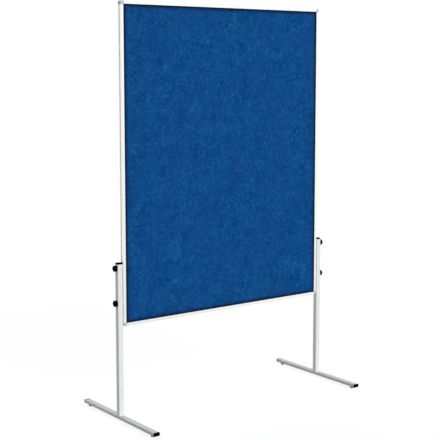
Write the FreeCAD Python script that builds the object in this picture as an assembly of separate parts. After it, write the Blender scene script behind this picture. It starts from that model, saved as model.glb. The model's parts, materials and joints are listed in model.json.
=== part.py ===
"""Free-standing double-sided pinboard: a felt panel in an aluminium frame, clamped between two T stands.

Millimetres. +Z is up, +X runs along the board's width and the front face looks along -Y.
The origin is on the floor, under the middle of the board.
"""
import FreeCAD, Part
import math
import os

Vector = FreeCAD.Vector

# Board and its frame
board_width = 1200.0
board_height = 1500.0
profile_depth = 25.0
profile_face = 15.0
profile_outer_radius = 2.5
profile_edge_radius = 0.8
profile_lip = 1.6
profile_web = 1.5
groove_lip = 1.8
groove_depth = 5.0
groove_width = 12.0
groove_wall = 1.2
felt_thickness = 1.9
panel_play = 0.5

# Corner elbows of the frame
elbow_reach = 3.0
elbow_radius = 9.0
tongue_length = 30.0
tongue_play = 0.1

# Legs
leg_width = 25.0
leg_depth = 25.0
leg_wall = 1.5
leg_radius = 2.0
leg_length = 720.0
leg_gap = 3.5
leg_cap_rim = 6.5

# Feet
foot_length = 610.0
foot_width = 30.0
foot_height = 15.0
foot_wall = 1.5
foot_radius = 2.5
foot_cap_rim = 6.0
foot_cap_overhang = 0.6

# Push-in plugs and caps of the tubes
foot_cap_insert = 12.0
cap_sleeve_gap = 2.0
cap_wall = 2.0
cap_edge_radius = 1.2
insert_play = 0.05

# Bolt that holds a leg down on its foot
plug_height = 30.0
boss_side = 11.0
bolt_radius = 4.0
bolt_length = 20.0
bolt_head_border = 2.5
bolt_head_height = 8.0
bolt_socket_flats = 6.0
bolt_socket_depth = 4.0
bolt_washer_border = 4.0
bolt_washer_thickness = 1.6

# Clamping knobs, measured down from the tube's top and up from the board's lower edge
knob_inset = 19.0
knob_spacing = 165.0
lower_knob_rise = 111.0
stud_radius = 3.0
knob_radius = 15.0
knob_height = 12.5
knob_edge_radius = 1.4
knob_lobes = 6
lobe_radius = 5.8
valley_radius = 5.6
hub_radius = 7.0
hub_height = 0.6
knob_roof = 3.0
knob_washer_border = 3.0
knob_washer_thickness = 1.6
sleeve_wall = 1.7
spacer_wall = 4.7
nut_length = 20.0
nut_side_play = 0.2
nut_back_play = 0.6

# Levelling feet
pad_radius = 10.0
pad_top_radius = 8.5
pad_height = 5.5
pad_edge_radius = 0.5
swivel_floor = 1.9
swivel_head_radius = 4.0
swivel_head_height = 1.5
swivel_neck_radius = 2.5
collar_flats = 13.0
collar_height = 3.5
screw_radius = 4.0
screw_tip_room = 1.0
insert_wall = 1.5
insert_flange = 1.5
insert_flange_height = 1.0
insert_body = 8.0
leveller_margin = 9.0

# Fits and working allowances
thread_play = 0.05
running_play = 0.1
hole_play = 0.3
overcut = 1.0
same_plane = 0.001
edge_samples = 5
hexagon_sides = 6

# Frame section, measured inwards from the outer face and out from the middle of the depth
half_depth = profile_depth / 2
pocket_floor = groove_lip + groove_depth + profile_web
pocket_half = half_depth - profile_lip
chamber_near = groove_width / 2 + groove_wall
mouth_half = stud_radius + hole_play
elbow_arm = profile_face + elbow_reach

# Levels above the floor
foot_bottom = pad_height + collar_height + insert_flange_height
foot_top = foot_bottom + foot_height
leg_top = foot_top + leg_length
upper_knob_level = leg_top - knob_inset
lower_knob_level = upper_knob_level - knob_spacing
knob_levels = {"lower": lower_knob_level, "upper": upper_knob_level}
board_bottom = lower_knob_level - lower_knob_rise
board_top = board_bottom + board_height
leg_cap_bottom = upper_knob_level + stud_radius + hole_play + sleeve_wall + cap_sleeve_gap

# Places across the width and the depth
board_edge = board_width / 2
leg_inner = board_edge + leg_gap
leg_outer = leg_inner + leg_width
leg_centre = leg_inner + leg_width / 2
insert_radius = screw_radius + thread_play + insert_wall
insert_flange_radius = insert_radius + insert_flange
leveller_place = foot_length / 2 - foot_cap_insert - insert_flange_radius - leveller_margin
sides = {"left": -1, "right": 1}
ends = {"front": -1, "rear": 1}


def save(node, shape):
    shape.exportStep(f"parts/{node}.step")


def block(corner, opposite):
    """A box between two opposite corners, given in any order."""
    low = Vector(*map(min, corner, opposite))
    high = Vector(*map(max, corner, opposite))
    size = high - low
    return Part.makeBox(size.x, size.y, size.z, low)


def rod(start, end, radius):
    """A round bar between two points."""
    run = Vector(*end) - Vector(*start)
    return Part.makeCylinder(radius, run.Length, Vector(*start), run)


def ring(start, end, outer, inner):
    return rod(start, end, outer).cut(rod(start, end, inner))


def hexagon(centre, flats, height):
    """A hexagonal bar standing on its centre point, with the given width across its flats."""
    step = 2 * math.pi / hexagon_sides
    reach = flats / 2 / math.cos(step / 2)
    corners = [
        Vector(*centre) + Vector(reach * math.cos(step * corner), reach * math.sin(step * corner), 0)
        for corner in range(hexagon_sides + 1)
    ]
    return Part.Face(Part.makePolygon(corners)).extrude(Vector(0, 0, height))


def along(edge, axis):
    """Whether a straight edge runs parallel to an axis."""
    if not isinstance(edge.Curve, Part.Line):
        return False
    return edge.Curve.Direction.cross(axis).Length < same_plane


def rounded_bar(corner, opposite, axis, radius):
    """A box whose four edges along one axis are rounded."""
    bar = block(corner, opposite)
    return bar.makeFillet(radius, [edge for edge in bar.Edges if along(edge, axis)])


def round_rim(shape, point, normal, radius):
    """Round every edge of the flat face that lies at a point and looks along a normal."""
    level = Vector(*point).dot(normal)
    rim = [
        edge
        for edge in shape.Edges
        if all(abs(place.dot(normal) - level) < same_plane for place in edge.discretize(edge_samples))
    ]
    return shape.makeFillet(radius, rim)


def profile(length, grooved):
    """A frame profile along +Z from the origin: x runs inwards from its outer face, y across its depth."""
    bar = block((0, -half_depth, 0), (profile_face, half_depth, length))
    for face, radius in ((0, profile_outer_radius), (profile_face, profile_edge_radius)):
        edges = [
            edge
            for edge in bar.Edges
            if along(edge, Vector(0, 0, 1)) and abs(edge.CenterOfMass.x - face) < same_plane
        ]
        bar = bar.makeFillet(radius, edges)
    pocket_end = (profile_face + overcut, pocket_half, length + overcut)
    bar = bar.cut(block((pocket_floor, -pocket_half, -overcut), pocket_end))
    groove_end = groove_lip + groove_depth
    chambers = [
        (-groove_width / 2, groove_width / 2),
        (chamber_near, pocket_half),
        (-pocket_half, -chamber_near),
    ]
    for near, far in chambers:
        bar = bar.cut(block((groove_lip, near, -overcut), (groove_end, far, length + overcut)))
    if grooved:
        bar = bar.cut(block((-overcut, -mouth_half, -overcut), (groove_end, mouth_half, length + overcut)))
    return bar


def frame_profiles():
    turn_up = FreeCAD.Rotation(Vector(0, 1, 0), -90)
    turn_down = FreeCAD.Rotation(Vector(0, 1, 0), 90)
    half_turn = FreeCAD.Rotation(Vector(0, 0, 1), 180)
    straight = FreeCAD.Rotation()
    arm_end = board_edge - elbow_arm
    upright = profile(board_height - 2 * elbow_arm, grooved=True)
    rail = profile(board_width - 2 * elbow_arm, grooved=False)
    places = {
        "left_profile": (upright, Vector(-board_edge, 0, board_bottom + elbow_arm), straight),
        "right_profile": (upright, Vector(board_edge, 0, board_bottom + elbow_arm), half_turn),
        "top_profile": (rail, Vector(-arm_end, 0, board_top), turn_down),
        "bottom_profile": (rail, Vector(arm_end, 0, board_bottom), turn_up),
    }
    for node, (shape, place, turn) in places.items():
        placed = shape.copy()
        placed.Placement = FreeCAD.Placement(place, turn)
        save(node, placed)


def corner_elbow(across, upwards):
    """An L-shaped corner whose tongues enter the end chambers of the two profiles that it joins."""
    corner_z = board_top if upwards > 0 else board_bottom

    def place(run_x, depth, run_z):
        return (across * (board_edge - run_x), depth, corner_z - upwards * run_z)

    elbow = block(place(0, -half_depth, 0), place(elbow_arm, half_depth, elbow_arm))
    outer = Vector(*place(0, 0, 0))
    nose = [
        edge
        for edge in elbow.Edges
        if along(edge, Vector(0, 1, 0)) and edge.CenterOfMass.distanceToPoint(outer) < elbow_radius
    ]
    elbow = elbow.makeFillet(elbow_radius, nose)
    outer_middle = Vector(*place(elbow_arm / 2, 0, elbow_arm / 2))
    outer_rim = [
        edge
        for edge in elbow.Edges
        if not along(edge, Vector(0, 1, 0))
        and (edge.CenterOfMass - outer_middle).dot(Vector(across, 0, upwards)) > 0
    ]
    elbow = elbow.makeFillet(profile_outer_radius, outer_rim)
    past_arm = elbow_arm + overcut
    elbow = elbow.cut(
        block(place(profile_face, -profile_depth, profile_face), place(past_arm, profile_depth, past_arm))
    )
    elbow = elbow.cut(
        block(place(pocket_floor, -pocket_half, pocket_floor), place(past_arm, pocket_half, past_arm))
    )
    low = groove_lip + tongue_play
    high = groove_lip + groove_depth - tongue_play
    tip = elbow_arm + tongue_length
    root = elbow_arm - elbow_reach / 2
    for front in ends.values():
        near = front * (chamber_near + tongue_play)
        far = front * (pocket_half - tongue_play)
        elbow = elbow.fuse(block(place(low, near, root), place(high, far, tip)))
        elbow = elbow.fuse(block(place(root, near, low), place(tip, far, high)))
    return elbow.removeSplitter()


def frame_corners():
    for height, upwards in (("top", 1), ("bottom", -1)):
        for side, across in sides.items():
            save(f"{height}_{side}_corner", corner_elbow(across, upwards))


def panel():
    """The core and its two felts stand on the lower profile and reach into the pocket on every side."""
    half_width = board_edge - pocket_floor - panel_play
    low = board_bottom + pocket_floor
    high = board_top - pocket_floor - 2 * panel_play
    core_half = pocket_half - felt_thickness
    layers = {
        "panel_core": (-core_half, core_half),
        "front_felt": (-pocket_half, -core_half),
        "rear_felt": (core_half, pocket_half),
    }
    for node, (near, far) in layers.items():
        save(node, block((-half_width, near, low), (half_width, far, high)))


def leg(across):
    tube = rounded_bar(
        (across * leg_inner, -leg_depth / 2, foot_top),
        (across * leg_outer, leg_depth / 2, leg_top),
        Vector(0, 0, 1),
        leg_radius,
    )
    bore = block(
        (across * (leg_inner + leg_wall), leg_wall - leg_depth / 2, foot_top - overcut),
        (across * (leg_outer - leg_wall), leg_depth / 2 - leg_wall, leg_top + overcut),
    )
    tube = tube.cut(bore)
    for level in knob_levels.values():
        tube = tube.cut(
            rod(
                (across * (leg_inner - overcut), 0, level),
                (across * (leg_outer + overcut), 0, level),
                stud_radius + hole_play,
            )
        )
    return tube


def leg_cap(across):
    rim = rounded_bar(
        (across * leg_inner, -leg_depth / 2, leg_top),
        (across * leg_outer, leg_depth / 2, leg_top + leg_cap_rim),
        Vector(0, 0, 1),
        leg_radius,
    )
    rim = round_rim(rim, (0, 0, leg_top + leg_cap_rim), Vector(0, 0, 1), cap_edge_radius)
    reach = leg_width / 2 - leg_wall - insert_play
    depth = leg_depth / 2 - leg_wall - insert_play
    middle = across * leg_centre
    skirt = block((middle - reach, -depth, leg_cap_bottom), (middle + reach, depth, leg_top))
    hollow = block(
        (middle - reach + cap_wall, cap_wall - depth, leg_cap_bottom - overcut),
        (middle + reach - cap_wall, depth - cap_wall, leg_top),
    )
    return rim.fuse(skirt.cut(hollow)).removeSplitter()


def leg_plug(across):
    """A threaded block in the leg's lower end, with a square boss that keys into the foot's upper wall."""
    reach = leg_width / 2 - leg_wall - insert_play
    depth = leg_depth / 2 - leg_wall - insert_play
    middle = across * leg_centre
    boss = boss_side / 2
    plug = block((middle - reach, -depth, foot_top), (middle + reach, depth, foot_top + plug_height))
    plug = plug.fuse(block((middle - boss, -boss, foot_top - foot_wall), (middle + boss, boss, foot_top)))
    thread_bottom = foot_top - foot_wall - overcut
    thread_top = foot_top - foot_wall - bolt_washer_thickness + bolt_length + overcut
    thread = rod((middle, 0, thread_bottom), (middle, 0, thread_top), bolt_radius + thread_play)
    return plug.cut(thread).removeSplitter()


def foot_bar(across):
    middle = across * leg_centre
    half_length = foot_length / 2
    bar = rounded_bar(
        (middle - foot_width / 2, -half_length, foot_bottom),
        (middle + foot_width / 2, half_length, foot_top),
        Vector(0, 1, 0),
        foot_radius,
    )
    inner = rounded_bar(
        (middle - foot_width / 2 + foot_wall, -half_length - overcut, foot_bottom + foot_wall),
        (middle + foot_width / 2 - foot_wall, half_length + overcut, foot_top - foot_wall),
        Vector(0, 1, 0),
        foot_radius - foot_wall,
    )
    bar = bar.cut(inner)
    boss_hole = boss_side / 2 + running_play
    bar = bar.cut(
        block(
            (middle - boss_hole, -boss_hole, foot_top - foot_wall - overcut),
            (middle + boss_hole, boss_hole, foot_top + overcut),
        )
    )
    under = foot_bottom - overcut
    wall_top = foot_bottom + foot_wall
    access = bolt_radius + bolt_washer_border + hole_play
    bar = bar.cut(rod((middle, 0, under), (middle, 0, wall_top), access))
    for end in ends.values():
        place = end * leveller_place
        bar = bar.cut(rod((middle, place, under), (middle, place, wall_top), insert_radius + thread_play))
    return bar


def foot_cap(across, end):
    middle = across * leg_centre
    face = end * foot_length / 2
    rim_end = face + end * foot_cap_rim
    rim_half = foot_width / 2 + foot_cap_overhang
    rim = rounded_bar(
        (middle - rim_half, face, foot_bottom - foot_cap_overhang),
        (middle + rim_half, rim_end, foot_top + foot_cap_overhang),
        Vector(0, 1, 0),
        foot_radius + foot_cap_overhang,
    )
    rim = round_rim(rim, (0, rim_end, 0), Vector(0, 1, 0), cap_edge_radius)
    reach = foot_width / 2 - foot_wall - insert_play
    low = foot_bottom + foot_wall + insert_play
    high = foot_top - foot_wall - insert_play
    inner_end = face - end * foot_cap_insert
    skirt = rounded_bar(
        (middle - reach, inner_end, low),
        (middle + reach, face, high),
        Vector(0, 1, 0),
        foot_radius - foot_wall,
    )
    hollow = block(
        (middle - reach + cap_wall, inner_end - end * overcut, low + cap_wall),
        (middle + reach - cap_wall, face, high - cap_wall),
    )
    return rim.fuse(skirt.cut(hollow)).removeSplitter()


def foot_bolt(across):
    """A socket-head bolt inside the foot, pointing up into the leg's plug."""
    middle = across * leg_centre
    seat = foot_top - foot_wall - bolt_washer_thickness
    head_bottom = seat - bolt_head_height
    head = rod((middle, 0, head_bottom), (middle, 0, seat), bolt_radius + bolt_head_border)
    head = head.cut(hexagon((middle, 0, head_bottom), bolt_socket_flats, bolt_socket_depth))
    return head.fuse(rod((middle, 0, seat), (middle, 0, seat + bolt_length), bolt_radius))


def foot_bolt_washer(across):
    middle = across * leg_centre
    high = foot_top - foot_wall
    low = high - bolt_washer_thickness
    return ring(
        (middle, 0, low), (middle, 0, high), bolt_radius + bolt_washer_border, bolt_radius + running_play
    )


def slot_nut(across, level):
    """A block behind the groove's lips that takes the end of a knob's stud."""
    front = board_edge - groove_lip
    back = front - groove_depth + nut_back_play
    half_width = groove_width / 2 - nut_side_play
    nut = block(
        (across * back, -half_width, level - nut_length / 2),
        (across * front, half_width, level + nut_length / 2),
    )
    return nut.cut(rod((across * back, 0, level), (across * front, 0, level), stud_radius + thread_play))


def clamp_ring(across, level, near, far, wall):
    """A ring round a knob's stud, between two distances from the board's middle."""
    bore = stud_radius + hole_play
    return ring((across * near, 0, level), (across * far, 0, level), bore + wall, bore)


def leveller_insert(across, end):
    """A rivet insert gripping the foot's lower wall between its flange and its upset collar."""
    middle = across * leg_centre
    place = end * leveller_place
    wall_top = foot_bottom + foot_wall

    def level(height):
        return (middle, place, height)

    top = wall_top + insert_body
    insert = rod(level(foot_bottom - insert_flange_height), level(foot_bottom), insert_flange_radius)
    insert = insert.fuse(rod(level(foot_bottom), level(top), insert_radius))
    insert = insert.fuse(rod(level(wall_top), level(wall_top + insert_wall), insert_flange_radius))
    bore = rod(level(foot_bottom - insert_flange_height), level(top), screw_radius + thread_play)
    return insert.cut(bore).removeSplitter()


def stand(side, across):
    save(f"{side}_leg", leg(across))
    save(f"{side}_leg_cap", leg_cap(across))
    save(f"{side}_leg_plug", leg_plug(across))
    save(f"{side}_foot_bar", foot_bar(across))
    save(f"{side}_foot_bolt", foot_bolt(across))
    save(f"{side}_foot_bolt_washer", foot_bolt_washer(across))
    levels = knob_levels.values()
    sleeve_ends = (leg_inner + leg_wall, leg_outer - leg_wall)
    sleeves = [clamp_ring(across, level, *sleeve_ends, sleeve_wall) for level in levels]
    spacers = [clamp_ring(across, level, board_edge, leg_inner, spacer_wall) for level in levels]
    save(f"{side}_clamp_sleeves", Part.makeCompound(sleeves))
    save(f"{side}_clamp_spacers", Part.makeCompound(spacers))
    save(f"{side}_slot_nuts", Part.makeCompound([slot_nut(across, level) for level in levels]))
    inserts = [leveller_insert(across, end) for end in ends.values()]
    save(f"{side}_leveller_inserts", Part.makeCompound(inserts))
    for name, end in ends.items():
        save(f"{side}_{name}_foot_cap", foot_cap(across, end))


def lobed_face(distance, level, across):
    """The knob's outline: lobes and valleys of tangent arcs, square to the stud."""
    half_step = math.pi / knob_lobes
    lobe_centre = knob_radius - lobe_radius
    chord = lobe_centre * math.cos(half_step)
    reach = (lobe_radius + valley_radius) ** 2 - (lobe_centre * math.sin(half_step)) ** 2
    valley_centre = chord + math.sqrt(reach)

    def place(run, turn):
        return Vector(across * distance, run * math.cos(turn), level + run * math.sin(turn))

    def touch(lobe_turn, valley_turn):
        lobe = place(lobe_centre, lobe_turn)
        valley = place(valley_centre, valley_turn)
        return lobe + (valley - lobe) * (lobe_radius / (lobe_radius + valley_radius))

    edges = []
    for lobe in range(knob_lobes):
        turn = 2 * half_step * lobe
        before = touch(turn, turn - half_step)
        after = touch(turn, turn + half_step)
        onward = touch(turn + 2 * half_step, turn + half_step)
        edges.append(Part.Arc(before, place(knob_radius, turn), after).toShape())
        valley = place(valley_centre - valley_radius, turn + half_step)
        edges.append(Part.Arc(after, valley, onward).toShape())
    return Part.Face(Part.Wire(edges))


def knob(across, level):
    hub_start = leg_outer + knob_washer_thickness
    head_start = hub_start + hub_height
    head_end = head_start + knob_height
    head = lobed_face(head_start, level, across).extrude(Vector(across * knob_height, 0, 0))
    outward = Vector(1, 0, 0)
    for face in (head_start, head_end):
        head = round_rim(head, (across * face, 0, level), outward, knob_edge_radius)
    grip = head.fuse(rod((across * hub_start, 0, level), (across * head_start, 0, level), hub_radius))
    socket_end = head_end - knob_roof
    socket = rod((across * hub_start, 0, level), (across * socket_end, 0, level), stud_radius + thread_play)
    return grip.cut(socket).removeSplitter()


def knob_stud(across, level):
    tip = board_edge - groove_lip - groove_depth + nut_back_play
    buried_end = leg_outer + knob_washer_thickness + hub_height + knob_height - knob_roof
    return rod((across * tip, 0, level), (across * buried_end, 0, level), stud_radius)


def knob_washer(across, level):
    bore = stud_radius + running_play
    far = leg_outer + knob_washer_thickness
    return ring((across * leg_outer, 0, level), (across * far, 0, level), bore + knob_washer_border, bore)


def clamping_knobs(side, across):
    for height, level in knob_levels.items():
        save(f"{side}_{height}_knob", knob(across, level))
        save(f"{side}_{height}_knob_stud", knob_stud(across, level))
        save(f"{side}_{height}_knob_washer", knob_washer(across, level))


def leveller_pad(across, end):
    """A low cone on the floor, hollowed for the head and neck of the screw that swivels in it."""
    middle = across * leg_centre
    place = end * leveller_place
    up = Vector(0, 0, 1)
    pad = Part.makeCone(pad_radius, pad_top_radius, pad_height, Vector(middle, place, 0), up)
    for height in (0, pad_height):
        pad = round_rim(pad, (middle, place, height), up, pad_edge_radius)
    ceiling = swivel_floor + swivel_head_height + 2 * running_play
    room = rod((middle, place, swivel_floor), (middle, place, ceiling), swivel_head_radius + running_play)
    throat = rod((middle, place, ceiling), (middle, place, pad_height), swivel_neck_radius + running_play)
    return pad.cut(room).cut(throat)


def leveller_screw(across, end):
    middle = across * leg_centre
    place = end * leveller_place

    def level(height):
        return (middle, place, height)

    head_bottom = swivel_floor + running_play
    head_top = head_bottom + swivel_head_height
    collar_top = pad_height + collar_height
    tip = foot_top - foot_wall - screw_tip_room
    screw = rod(level(head_bottom), level(head_top), swivel_head_radius)
    screw = screw.fuse(rod(level(head_top), level(pad_height), swivel_neck_radius))
    screw = screw.fuse(hexagon(level(pad_height), collar_flats, collar_height))
    return screw.fuse(rod(level(collar_top), level(tip), screw_radius))


def levelling_feet(side, across):
    for name, end in ends.items():
        save(f"{side}_{name}_leveller_pad", leveller_pad(across, end))
        save(f"{side}_{name}_leveller_screw", leveller_screw(across, end))


os.makedirs("parts", exist_ok=True)
frame_profiles()
frame_corners()
panel()
for side_name, side_sign in sides.items():
    stand(side_name, side_sign)
    clamping_knobs(side_name, side_sign)
    levelling_feet(side_name, side_sign)
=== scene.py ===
import json
import math
import bpy
import numpy as np
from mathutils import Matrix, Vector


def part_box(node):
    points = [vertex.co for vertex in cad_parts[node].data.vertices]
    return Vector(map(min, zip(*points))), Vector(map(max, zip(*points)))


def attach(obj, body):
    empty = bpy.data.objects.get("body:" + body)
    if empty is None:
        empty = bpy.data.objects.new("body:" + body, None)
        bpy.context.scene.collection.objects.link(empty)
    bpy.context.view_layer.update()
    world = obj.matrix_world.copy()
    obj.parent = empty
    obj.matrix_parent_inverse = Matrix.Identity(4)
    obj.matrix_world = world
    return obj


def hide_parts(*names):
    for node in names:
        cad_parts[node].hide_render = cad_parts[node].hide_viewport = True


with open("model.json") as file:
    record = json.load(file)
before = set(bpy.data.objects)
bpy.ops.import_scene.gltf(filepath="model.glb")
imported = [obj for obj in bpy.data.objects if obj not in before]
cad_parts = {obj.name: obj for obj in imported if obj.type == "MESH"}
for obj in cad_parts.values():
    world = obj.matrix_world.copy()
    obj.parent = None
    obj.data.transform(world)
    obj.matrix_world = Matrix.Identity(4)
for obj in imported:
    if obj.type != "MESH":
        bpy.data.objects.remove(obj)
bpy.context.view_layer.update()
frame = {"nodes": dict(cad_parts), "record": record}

millimetre = 0.001
noiseSpan = {"From Min": 0.3, "From Max": 0.7}      # nearly all values of a noise lie between these
mixShare, mixFrom, mixTo, mixColour = 0, 6, 7, 2    # sockets of a Mix node that mixes colours


def linearColour(hexText):
    # sRGB hex to linear: the low end is a straight line, the rest a power of 2.4
    coded = np.array([int(hexText[start:start + 2], 16) for start in (1, 3, 5)]) / 255
    linear = np.where(coded <= 0.04045, coded / 12.92, ((coded + 0.055) / 1.055) ** 2.4)
    return (*linear.tolist(), 1.0)


def addNode(tree, kind, inputs=None, **settings):
    # an input is given a plain value, or another node's output to link to
    node = tree.nodes.new(kind)
    for name, value in settings.items():
        setattr(node, name, value)
    for socket, value in (inputs or {}).items():
        if isinstance(value, bpy.types.NodeSocket):
            tree.links.new(value, node.inputs[socket])
        else:
            node.inputs[socket].default_value = value
    return node.outputs


def startMaterial(name):
    material = bpy.data.materials.new(name)
    material.use_nodes = True
    material.node_tree.nodes.clear()
    return material, material.node_tree


def finishMaterial(tree, shader):
    addNode(tree, "ShaderNodeOutputMaterial", {"Surface": shader})


def perMetre(sizeInMillimetres):
    # a texture's scale is how often its pattern fits into a metre
    return 1 / (sizeInMillimetres * millimetre)


# Needle-punched polyester felt: matted fibres of two blues, with pale clumps on a darker ground, slow
# drifts of dye towards violet, and a dull face. The real fibres are far finer than a pixel, so the flecks
# are drawn as the clumps they form. A dark line along the frame's lips is painted shade: the felt's colour
# turns to a dark navy towards the lips, where their shadow falls. The line is a guess.
feltFinish = {
    "dark": "#003976",
    "light": "#2877B3",
    "violet": "#16458A",
    # colour of the painted shade along the frame's lips
    "lipShadeColour": "#0E1729",
    "patterns": {
        # size in millimetres, and how the noise breaks up
        "fleck": (14, {"Detail": 2.5, "Roughness": 0.65, "Distortion": 0.3}),
        "fibre": (4.5, {"Detail": 3.0, "Roughness": 0.65, "Distortion": 2.5}),
        "mat": (30, {"Detail": 2.0, "Roughness": 0.6}),
        "cloud": (75, {"Detail": 2.0, "Roughness": 0.5}),
        "dye": (130, {"Detail": 2.0, "Roughness": 0.5}),
    },
    "fleckRange": (0.5, 0.8),        # noise values between which a fleck fades in
    "fleckShare": (0.2, 0.83),       # share of the light blue on the ground and in a full fleck
    "drifts": {"mat": 0.09, "cloud": 0.075, "fibre": 0.13},   # how far these move that share up or down
    "dyeShare": 0.48,
    "fibreHeight": 0.25 * millimetre,
    "fibreRelief": 0.6,
    "shader": {
        "Roughness": 0.95, "Specular IOR Level": 0.02,
        "Sheen Weight": 0.008, "Sheen Roughness": 0.6, "Sheen Tint": linearColour("#7FA8D6"),
    },
}


def needlePunchedFelt():
    look = feltFinish
    material, tree = startMaterial("needlePunchedFelt")
    place = addNode(tree, "ShaderNodeTexCoord")["Object"]
    noise = {
        name: addNode(tree, "ShaderNodeTexNoise", {"Vector": place, "Scale": perMetre(size), **breakUp})[0]
        for name, (size, breakUp) in look["patterns"].items()
    }
    fleckStart, fleckFull = look["fleckRange"]
    groundShare, fullShare = look["fleckShare"]
    share = addNode(tree, "ShaderNodeMapRange", {
        "Value": noise["fleck"], "From Min": fleckStart, "From Max": fleckFull,
        "To Min": groundShare, "To Max": fullShare})[0]
    for name, swing in look["drifts"].items():
        drift = addNode(tree, "ShaderNodeMapRange", {
            "Value": noise[name], **noiseSpan, "To Min": -swing, "To Max": swing})[0]
        share = addNode(tree, "ShaderNodeMath", {0: share, 1: drift}, operation="ADD")[0]
    blue = addNode(tree, "ShaderNodeMix", {
        mixShare: share, mixFrom: linearColour(look["dark"]), mixTo: linearColour(look["light"]),
    }, data_type="RGBA")[mixColour]
    dyeShare = addNode(tree, "ShaderNodeMapRange", {
        "Value": noise["dye"], **noiseSpan, "To Max": look["dyeShare"]})[0]
    dyed = addNode(tree, "ShaderNodeMix", {
        mixShare: dyeShare, mixFrom: blue, mixTo: linearColour(look["violet"]),
    }, data_type="RGBA")[mixColour]
    # painted shade: the felt darkens to a dark navy towards the frame's lips
    lipShadeShare = addNode(tree, "ShaderNodeAttribute", attribute_name="paintedLipShade")["Fac"]
    shaded = addNode(tree, "ShaderNodeMix", {
        mixShare: lipShadeShare, mixFrom: dyed, mixTo: linearColour(look["lipShadeColour"]),
    }, data_type="RGBA")[mixColour]
    nap = addNode(tree, "ShaderNodeBump", {
        "Strength": look["fibreRelief"], "Distance": look["fibreHeight"], "Height": noise["fibre"]})[0]
    shader = addNode(tree, "ShaderNodeBsdfPrincipled", {
        "Base Color": shaded, "Normal": nap, **look["shader"]})[0]
    finishMaterial(tree, shader)
    return material


# Silver anodised aluminium, extruded and etched: a pale satin metal with faint drawing lines along its
# length. The real lines are about 0.3 mm apart, and are drawn wider so that they show. The walls of the
# side grooves are drawn a little brighter, as painted light that lifts their shade.
aluminiumFinish = {
    "low": "#ECECEA",
    "high": "#F4F4F2",
    # colour of the painted light on the groove walls
    "grooveLitColour": "#F6F6F4",
    "grooveSkin": 0.5 * millimetre,     # depth below the outer face at which the groove's walls begin
    "grooveMargin": 1.0 * millimetre,   # room beside the slot nuts
    "lineMillimetres": 2.2,
    "lineLengthMillimetres": 900,
    "lineHeight": 0.02 * millimetre,
    "lineRelief": 0.15,
    "etchMillimetres": 60,
    "detail": 2.0,
    "roughness": (0.36, 0.44),
}


def anodisedAluminium(name, alongAxis, grooved):
    look = aluminiumFinish
    material, tree = startMaterial(name)
    place = addNode(tree, "ShaderNodeTexCoord")["Object"]
    stretch = [perMetre(look["lineMillimetres"])] * 3
    stretch[alongAxis] = perMetre(look["lineLengthMillimetres"])
    drawn = addNode(tree, "ShaderNodeMapping", {"Vector": place, "Scale": stretch})[0]
    lines = addNode(tree, "ShaderNodeTexNoise", {
        "Vector": drawn, "Scale": 1.0, "Detail": look["detail"]})[0]
    etched = addNode(tree, "ShaderNodeTexNoise", {
        "Vector": place, "Scale": perMetre(look["etchMillimetres"]), "Detail": look["detail"]})[0]
    tone = addNode(tree, "ShaderNodeMapRange", {"Value": lines, **noiseSpan})[0]
    colour = addNode(tree, "ShaderNodeMix", {
        mixShare: tone, mixFrom: linearColour(look["low"]), mixTo: linearColour(look["high"]),
    }, data_type="RGBA")[mixColour]
    # painted light: the walls inside the side grooves are drawn brighter to lift their shade
    if grooved:
        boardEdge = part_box("right_profile")[1][0]
        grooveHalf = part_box("right_slot_nuts")[1][1] + look["grooveMargin"]
        axes = addNode(tree, "ShaderNodeSeparateXYZ", {"Vector": place})
        aside = addNode(tree, "ShaderNodeMath", {0: axes["X"]}, operation="ABSOLUTE")[0]
        offPlane = addNode(tree, "ShaderNodeMath", {0: axes["Y"]}, operation="ABSOLUTE")[0]
        behindSkin = addNode(tree, "ShaderNodeMath", {
            0: aside, 1: boardEdge - look["grooveSkin"]}, operation="LESS_THAN")[0]
        inGroove = addNode(tree, "ShaderNodeMath", {0: offPlane, 1: grooveHalf}, operation="LESS_THAN")[0]
        grooveLitShare = addNode(tree, "ShaderNodeMath", {0: behindSkin, 1: inGroove}, operation="MULTIPLY")[0]
        colour = addNode(tree, "ShaderNodeMix", {
            mixShare: grooveLitShare, mixFrom: colour, mixTo: linearColour(look["grooveLitColour"]),
        }, data_type="RGBA")[mixColour]
    smooth, coarse = look["roughness"]
    satin = addNode(tree, "ShaderNodeMapRange", {
        "Value": etched, **noiseSpan, "To Min": smooth, "To Max": coarse})[0]
    relief = addNode(tree, "ShaderNodeBump", {
        "Strength": look["lineRelief"], "Distance": look["lineHeight"], "Height": lines})[0]
    shader = addNode(tree, "ShaderNodeBsdfPrincipled", {
        "Base Color": colour, "Metallic": 1.0, "Roughness": satin, "Normal": relief})[0]
    finishMaterial(tree, shader)
    return material


# Moulded plastics and one turned nylon: an even colour with the fine grain of an eroded mould. The grain is
# about 0.2 mm and is drawn coarser, and slow flow marks shift the tone a little. The black pieces show
# almost no gloss.
plasticFinishes = {
    "mouldedGreyAbs": {
        "dark": "#BFC1C1", "light": "#CFD1D1", "roughness": 0.48, "gloss": 0.5,
        "grainMillimetres": 1.2, "grainHeight": 0.03 * millimetre,
    },
    "mouldedBlackNylon": {
        "dark": "#060607", "light": "#0E0E10", "roughness": 0.7, "gloss": 0.012,
        "grainMillimetres": 1.0, "grainHeight": 0.03 * millimetre,
    },
    "greyGlidePolyethylene": {
        "dark": "#6C6D6E", "light": "#858687", "roughness": 0.5, "gloss": 0.5,
        "grainMillimetres": 1.5, "grainHeight": 0.02 * millimetre,
    },
    "turnedWhiteNylon": {
        "dark": "#DCDCD6", "light": "#EAEAE5", "roughness": 0.4, "gloss": 0.5,
        "grainMillimetres": 0.8, "grainHeight": 0.02 * millimetre,
    },
}
plasticSurface = {
    # what the four have in common
    "flowMillimetres": 14,
    "detail": 2.0,
    "breakUp": 0.6,
    "roughnessSwing": 0.06,
    "grainRelief": 0.4,
    "ior": 1.5,
}


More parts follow.
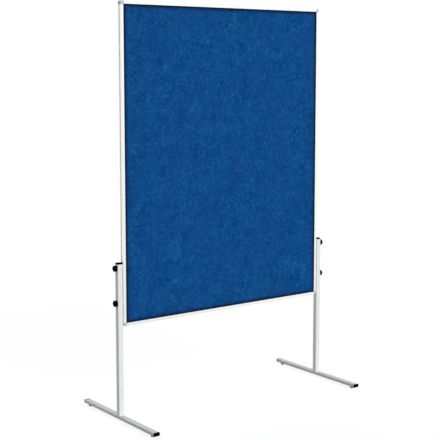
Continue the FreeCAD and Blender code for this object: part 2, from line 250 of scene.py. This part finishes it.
def mouldedPlastic(name):
    look = plasticFinishes[name]
    swing = plasticSurface["roughnessSwing"]
    detail = plasticSurface["detail"]
    material, tree = startMaterial(name)
    place = addNode(tree, "ShaderNodeTexCoord")["Object"]
    grain = addNode(tree, "ShaderNodeTexNoise", {
        "Vector": place, "Scale": perMetre(look["grainMillimetres"]), "Detail": detail,
        "Roughness": plasticSurface["breakUp"]})[0]
    flow = addNode(tree, "ShaderNodeTexNoise", {
        "Vector": place, "Scale": perMetre(plasticSurface["flowMillimetres"]), "Detail": detail})[0]
    tone = addNode(tree, "ShaderNodeMapRange", {"Value": flow, **noiseSpan})[0]
    colour = addNode(tree, "ShaderNodeMix", {
        mixShare: tone, mixFrom: linearColour(look["dark"]), mixTo: linearColour(look["light"]),
    }, data_type="RGBA")[mixColour]
    rough = addNode(tree, "ShaderNodeMapRange", {
        "Value": grain, **noiseSpan,
        "To Min": look["roughness"] - swing, "To Max": look["roughness"] + swing})[0]
    relief = addNode(tree, "ShaderNodeBump", {
        "Strength": plasticSurface["grainRelief"], "Distance": look["grainHeight"], "Height": grain})[0]
    shader = addNode(tree, "ShaderNodeBsdfPrincipled", {
        "Base Color": colour, "Roughness": rough, "IOR": plasticSurface["ior"],
        "Specular IOR Level": look["gloss"], "Normal": relief})[0]
    finishMaterial(tree, shader)
    return material


# Silver-grey powder coat on steel tube: an even metallic-looking paint with orange peel about 3 mm wide
# and fine bright flakes. The flakes are drawn larger than their 0.1 mm. The feet's greyer tone is painted
# shade.
coatFinish = {
    "tones": {
        "silverPowderCoatOnLegs": ("#ECEEEE", "#F4F6F6"),
        # painted shade: the same paint drawn greyer on the feet
        "silverPowderCoatOnFeet": ("#D7D9D9", "#DFE1E1"),
    },
    "peelMillimetres": 3.0,
    "peelDetail": 1.0,
    "peelHeight": 0.03 * millimetre,
    "peelRelief": 0.35,
    "flakeMillimetres": 1.1,
    "flakeRange": (0.2, 0.9),
    "flakeShare": 0.6,
    "buildMillimetres": 45,          # slow changes of the coat's thickness
    "buildDetail": 2.0,
    "buildShare": 0.4,
    "roughness": (0.48, 0.58),
    "gloss": 0.2,
}


def silverPowderCoat(name):
    look = coatFinish
    dark, light = look["tones"][name]
    material, tree = startMaterial(name)
    place = addNode(tree, "ShaderNodeTexCoord")["Object"]
    peel = addNode(tree, "ShaderNodeTexNoise", {
        "Vector": place, "Scale": perMetre(look["peelMillimetres"]), "Detail": look["peelDetail"]})[0]
    flake = addNode(tree, "ShaderNodeTexVoronoi", {
        "Vector": place, "Scale": perMetre(look["flakeMillimetres"])})["Color"]
    build = addNode(tree, "ShaderNodeTexNoise", {
        "Vector": place, "Scale": perMetre(look["buildMillimetres"]), "Detail": look["buildDetail"]})[0]
    dullFlake, brightFlake = look["flakeRange"]
    sparkle = addNode(tree, "ShaderNodeMapRange", {
        "Value": flake, "From Min": dullFlake, "From Max": brightFlake, "To Max": look["flakeShare"]})[0]
    thickness = addNode(tree, "ShaderNodeMapRange", {
        "Value": build, **noiseSpan, "To Max": look["buildShare"]})[0]
    tone = addNode(tree, "ShaderNodeMath", {0: sparkle, 1: thickness}, operation="ADD")[0]
    colour = addNode(tree, "ShaderNodeMix", {
        mixShare: tone, mixFrom: linearColour(dark), mixTo: linearColour(light),
    }, data_type="RGBA")[mixColour]
    relief = addNode(tree, "ShaderNodeBump", {
        "Strength": look["peelRelief"], "Distance": look["peelHeight"], "Height": peel})[0]
    smooth, coarse = look["roughness"]
    rough = addNode(tree, "ShaderNodeMapRange", {
        "Value": build, **noiseSpan, "To Min": smooth, "To Max": coarse})[0]
    shader = addNode(tree, "ShaderNodeBsdfPrincipled", {
        "Base Color": colour, "Roughness": rough, "Specular IOR Level": look["gloss"], "Normal": relief})[0]
    finishMaterial(tree, shader)
    return material


# Bright zinc plate on steel: a bluish silver with small cloudy patches.
zincFinish = {
    "dark": "#B4B8BC",
    "light": "#CDD1D5",
    "patchMillimetres": 3.5,
    "detail": 3.0,
    "roughness": (0.25, 0.4),
}


def brightZinc():
    look = zincFinish
    material, tree = startMaterial("brightZinc")
    place = addNode(tree, "ShaderNodeTexCoord")["Object"]
    patch = addNode(tree, "ShaderNodeTexNoise", {
        "Vector": place, "Scale": perMetre(look["patchMillimetres"]), "Detail": look["detail"]})[0]
    tone = addNode(tree, "ShaderNodeMapRange", {"Value": patch, **noiseSpan})[0]
    colour = addNode(tree, "ShaderNodeMix", {
        mixShare: tone, mixFrom: linearColour(look["dark"]), mixTo: linearColour(look["light"]),
    }, data_type="RGBA")[mixColour]
    smooth, coarse = look["roughness"]
    rough = addNode(tree, "ShaderNodeMapRange", {
        "Value": patch, **noiseSpan, "To Min": smooth, "To Max": coarse})[0]
    shader = addNode(tree, "ShaderNodeBsdfPrincipled", {
        "Base Color": colour, "Metallic": 1.0, "Roughness": rough})[0]
    finishMaterial(tree, shader)
    return material


# Raw soft fibre board: pressed wood fibres, brown and matt, with darker bark specks.
fibreBoardFinish = {
    "dark": "#7D6240",
    "light": "#A98A62",
    "fibreMillimetres": 6,
    "fibreHeight": 0.3 * millimetre,
    "relief": 0.6,
    "detail": 4.0,
    "breakUp": 0.7,
    "roughness": 0.9,
}


def rawFibreBoard():
    look = fibreBoardFinish
    material, tree = startMaterial("rawFibreBoard")
    place = addNode(tree, "ShaderNodeTexCoord")["Object"]
    fibre = addNode(tree, "ShaderNodeTexNoise", {
        "Vector": place, "Scale": perMetre(look["fibreMillimetres"]), "Detail": look["detail"],
        "Roughness": look["breakUp"]})[0]
    tone = addNode(tree, "ShaderNodeMapRange", {"Value": fibre, **noiseSpan})[0]
    colour = addNode(tree, "ShaderNodeMix", {
        mixShare: tone, mixFrom: linearColour(look["dark"]), mixTo: linearColour(look["light"]),
    }, data_type="RGBA")[mixColour]
    relief = addNode(tree, "ShaderNodeBump", {
        "Strength": look["relief"], "Distance": look["fibreHeight"], "Height": fibre})[0]
    shader = addNode(tree, "ShaderNodeBsdfPrincipled", {
        "Base Color": colour, "Roughness": look["roughness"], "Normal": relief})[0]
    finishMaterial(tree, shader)
    return material


felt = needlePunchedFelt()
uprightAluminium = anodisedAluminium("anodisedAluminiumUpright", alongAxis=2, grooved=True)
railAluminium = anodisedAluminium("anodisedAluminiumRail", alongAxis=0, grooved=False)
legCoat = silverPowderCoat("silverPowderCoatOnLegs")
footCoat = silverPowderCoat("silverPowderCoatOnFeet")
slotFinishes = {
    "blue_felt": felt,
    "fibre_core": rawFibreBoard(),
    "frame_aluminium": railAluminium,
    "grey_corner_plastic": mouldedPlastic("mouldedGreyAbs"),
    "silver_coated_steel": legCoat,
    "black_plastic": mouldedPlastic("mouldedBlackNylon"),
    "grey_glide_plastic": mouldedPlastic("greyGlidePolyethylene"),
    "white_nylon": mouldedPlastic("turnedWhiteNylon"),
    "zinc_steel": brightZinc(),
}
nodeFinishes = {
    # nodes that differ from the rest of their slot
    "left_profile": uprightAluminium,
    "right_profile": uprightAluminium,
    "left_foot_bar": footCoat,
    "right_foot_bar": footCoat,
}
for subpart in frame["record"]["subparts"]:
    node = subpart["node"]
    mesh = frame["nodes"][node].data
    mesh.materials.clear()
    mesh.materials.append(nodeFinishes.get(node, slotFinishes[subpart["material_slot"]]))


# The two felts: cut to the size of the core, held flat under the frame's lips, a little prouder where free.
feltSheet = {
    "cells": (120, 150),               # across and up
    "crown": 0.35 * millimetre,        # rise of the free felt over the clamped border
    "crownRun": 5 * millimetre,        # distance from the lip over which it rises
    "ripple": 0.06 * millimetre,
    "rippleRun": 20 * millimetre,
    "waves": ((23, 0), (9, 31), (41, -17)),    # radians per metre along x and z, 140 to 270 mm a wave
    "sway": 1.3,                       # radians by which the first wave sways from side to side
    "swayRate": 5,                     # radians per metre along z
    "lipShadeRun": 13.5 * millimetre,     # width of the painted shade along the lips
}


def freeDistance(x, z):
    # distance inside the frame's inner edges: there a felt is free, outside them it is clamped, at 0
    left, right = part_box("left_profile")[1][0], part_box("right_profile")[0][0]
    bottom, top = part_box("bottom_profile")[1][2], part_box("top_profile")[0][2]
    inset = np.minimum(np.minimum(x - left, right - x), np.minimum(z - bottom, top - z))
    return np.maximum(inset, 0)


def feltRise(x, z, free, facing):
    # crown times (1 - exp(-free distance / run)), plus ripple times the mean of three waves that cross at
    # slants, which fades out towards the lips in the same way
    crown = feltSheet["crown"] * (1 - np.exp(-free / feltSheet["crownRun"]))
    upright, slanted, steep = (alongX * x + alongZ * z for alongX, alongZ in feltSheet["waves"])
    sway = feltSheet["sway"] * np.sin(feltSheet["swayRate"] * z)
    waves = np.sin(upright + sway) + np.sin(slanted + facing) + np.sin(steep)
    fade = 1 - np.exp(-free / feltSheet["rippleRun"])
    return crown + feltSheet["ripple"] * waves / len(feltSheet["waves"]) * fade


def sheetFaces(index, facing):
    # quads over the outer grid, the same turned over on the inner grid, and a strip that joins their rims;
    # all of them are turned round on the sheet that faces back
    face = np.stack([index[:-1, :-1], index[1:, :-1], index[1:, 1:], index[:-1, 1:]], -1).reshape(-1, 4)
    rim = np.concatenate([index[:-1, 0], index[-1, :-1], index[:0:-1, -1], index[0, :0:-1]])
    nextRim = np.roll(rim, -1)
    strip = np.stack([nextRim, rim, rim + index.size, nextRim + index.size], -1)
    faces = np.concatenate([face, face[:, ::-1] + index.size, strip])
    smooth = np.arange(len(faces)) < 2 * len(face)
    if facing > 0:
        faces = faces[:, ::-1]
    return faces, smooth


def feltPiece(name, node, facing):
    # x and z run over the sheet as sines of even steps, so that rows crowd towards the borders. The outer
    # face lies at the node's outer plane plus the rise, and the inner face lies on the core.
    low, high = (np.array(corner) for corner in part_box(node))
    middle, half = (low + high) / 2, (high - low) / 2
    columns, rows = feltSheet["cells"]
    turnX = np.linspace(-1, 1, columns + 1) * math.pi / 2
    turnZ = np.linspace(-1, 1, rows + 1) * math.pi / 2
    acrossX = middle[0] + half[0] * np.sin(turnX)
    upZ = middle[2] + half[2] * np.sin(turnZ)
    x, z = np.meshgrid(acrossX, upZ, indexing="ij")
    free = freeDistance(x, z)
    outerPlane, innerPlane = (high[1], low[1]) if facing > 0 else (low[1], high[1])
    outerY = outerPlane + facing * feltRise(x, z, free, facing)
    outer = np.stack([x, outerY, z], -1).reshape(-1, 3)
    inner = np.stack([x, np.full_like(x, innerPlane), z], -1).reshape(-1, 3)
    faces, smooth = sheetFaces(np.arange(x.size).reshape(x.shape), facing)
    mesh = bpy.data.meshes.new(name)
    mesh.from_pydata(np.concatenate([outer, inner]).tolist(), [], faces.tolist())
    mesh.polygons.foreach_set("use_smooth", smooth)
    # painted shade along the lips: full at the lips, fading inwards from them
    lipShadeFade = np.exp(-(free / feltSheet["lipShadeRun"]) ** 2).ravel()
    paintedLipShade = mesh.attributes.new("paintedLipShade", "FLOAT", "POINT")
    paintedLipShade.data.foreach_set("value", np.tile(lipShadeFade, 2).astype(np.float32))
    mesh.materials.append(felt)
    piece = bpy.data.objects.new(name, mesh)
    bpy.context.scene.collection.objects.link(piece)
    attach(piece, "board")
    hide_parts(node)


feltPiece("front_felt_sheet", "front_felt", -1)
feltPiece("rear_felt_sheet", "rear_felt", 1)
print("felts stretched over the core")


# White studio: a pale floor that keeps the object's shadow, even light from all round and soft lamps.
studio = {
    "floorHalf": 40.0,
    "floorColour": "#A0A0A0",        # what the floor passes on to the object
    "floorShown": "#888888",         # what the camera sees, with a glow that brings it up to white
    "floorGlow": 0.835,
    "white": "#FFFFFF",
    "surroundShown": 1.0,            # strength of the surround as the camera sees it
    "surroundLevel": 0.32,           # its strength as a light
    "lamps": {
        # name: direction it comes from, strength, width in degrees, whether metal mirrors it
        "keyLamp": ((0.5, -0.83, 0.25), 0.25, 60, True),
        "fillLamp": ((0.0, -0.96, 0.22), 2.39, 60, False),
        "backLamp": ((0.35, 0.92, 0.13), 2.6, 90, False),
    },
}


def seenWhite(tree):
    # 1 where the camera sees the surface itself or in a reflection, 0 where it only passes light on
    path = addNode(tree, "ShaderNodeLightPath")
    seen = path["Is Camera Ray"]
    for ray in ("Is Glossy Ray", "Is Transmission Ray"):
        seen = addNode(tree, "ShaderNodeMath", {0: seen, 1: path[ray]}, operation="MAXIMUM")[0]
    return seen


def whiteFloor():
    reach = studio["floorHalf"]
    corners = [(-reach, -reach, 0), (reach, -reach, 0), (reach, reach, 0), (-reach, reach, 0)]
    mesh = bpy.data.meshes.new("floor")
    mesh.from_pydata(corners, [], [(0, 1, 2, 3)])
    material, tree = startMaterial("whiteStudioFloor")
    paint = addNode(tree, "ShaderNodeBsdfDiffuse", {"Color": linearColour(studio["floorColour"])})[0]
    shaded = addNode(tree, "ShaderNodeBsdfDiffuse", {"Color": linearColour(studio["floorShown"])})[0]
    glow = addNode(tree, "ShaderNodeEmission", {"Strength": studio["floorGlow"]})[0]
    lit = addNode(tree, "ShaderNodeAddShader", {0: shaded, 1: glow})[0]
    shown = addNode(tree, "ShaderNodeMixShader", {0: seenWhite(tree), 1: paint, 2: lit})[0]
    finishMaterial(tree, shown)
    mesh.materials.append(material)
    floor = bpy.data.objects.new("floor", mesh)
    bpy.context.scene.collection.objects.link(floor)


def surroundings():
    world = bpy.data.worlds.new("studioSurround")
    bpy.context.scene.world = world
    world.use_nodes = True
    tree = world.node_tree
    tree.nodes.clear()
    white = linearColour(studio["white"])
    shown = addNode(tree, "ShaderNodeBackground", {"Color": white, "Strength": studio["surroundShown"]})[0]
    light = addNode(tree, "ShaderNodeBackground", {"Color": white, "Strength": studio["surroundLevel"]})[0]
    both = addNode(tree, "ShaderNodeMixShader", {0: seenWhite(tree), 1: light, 2: shown})[0]
    addNode(tree, "ShaderNodeOutputWorld", {"Surface": both})


def softLamp(name, direction, strength, width, mirrored):
    lamp = bpy.data.lights.new(name, "SUN")
    lamp.energy = strength
    lamp.angle = math.radians(width)
    holder = bpy.data.objects.new(name, lamp)
    x, y, z = direction
    holder.rotation_euler = (math.atan2(math.hypot(x, y), z), 0, math.atan2(x, -y))
    holder.visible_glossy = mirrored
    bpy.context.scene.collection.objects.link(holder)


whiteFloor()
surroundings()
for lampName, lampSetting in studio["lamps"].items():
    softLamp(lampName, *lampSetting)
print("studio set")


# Camera in front and to the left at about eye height, tipped slightly down.
cameraSetting = {
    "place": (-3.1697, -4.1737, 1.6431),
    "heading": 36.951,     # degrees to the right of straight ahead
    "level": 90,           # degrees from looking straight down to looking level
    "tip": -6.434,         # degrees from level
    "lens": 87.405,
    "sensor": 36,
    "shift": -0.07,
}
cameraData = bpy.data.cameras.new("photoCamera")
cameraData.lens = cameraSetting["lens"]
cameraData.sensor_width = cameraSetting["sensor"]
cameraData.shift_y = cameraSetting["shift"]
camera = bpy.data.objects.new("photoCamera", cameraData)
camera.location = cameraSetting["place"]
pitch = math.radians(cameraSetting["level"] + cameraSetting["tip"])
camera.rotation_euler = (pitch, 0, math.radians(-cameraSetting["heading"]))
bpy.context.scene.collection.objects.link(camera)
bpy.context.scene.camera = camera
bpy.context.scene.view_settings.view_transform = "Standard"
print("camera set")
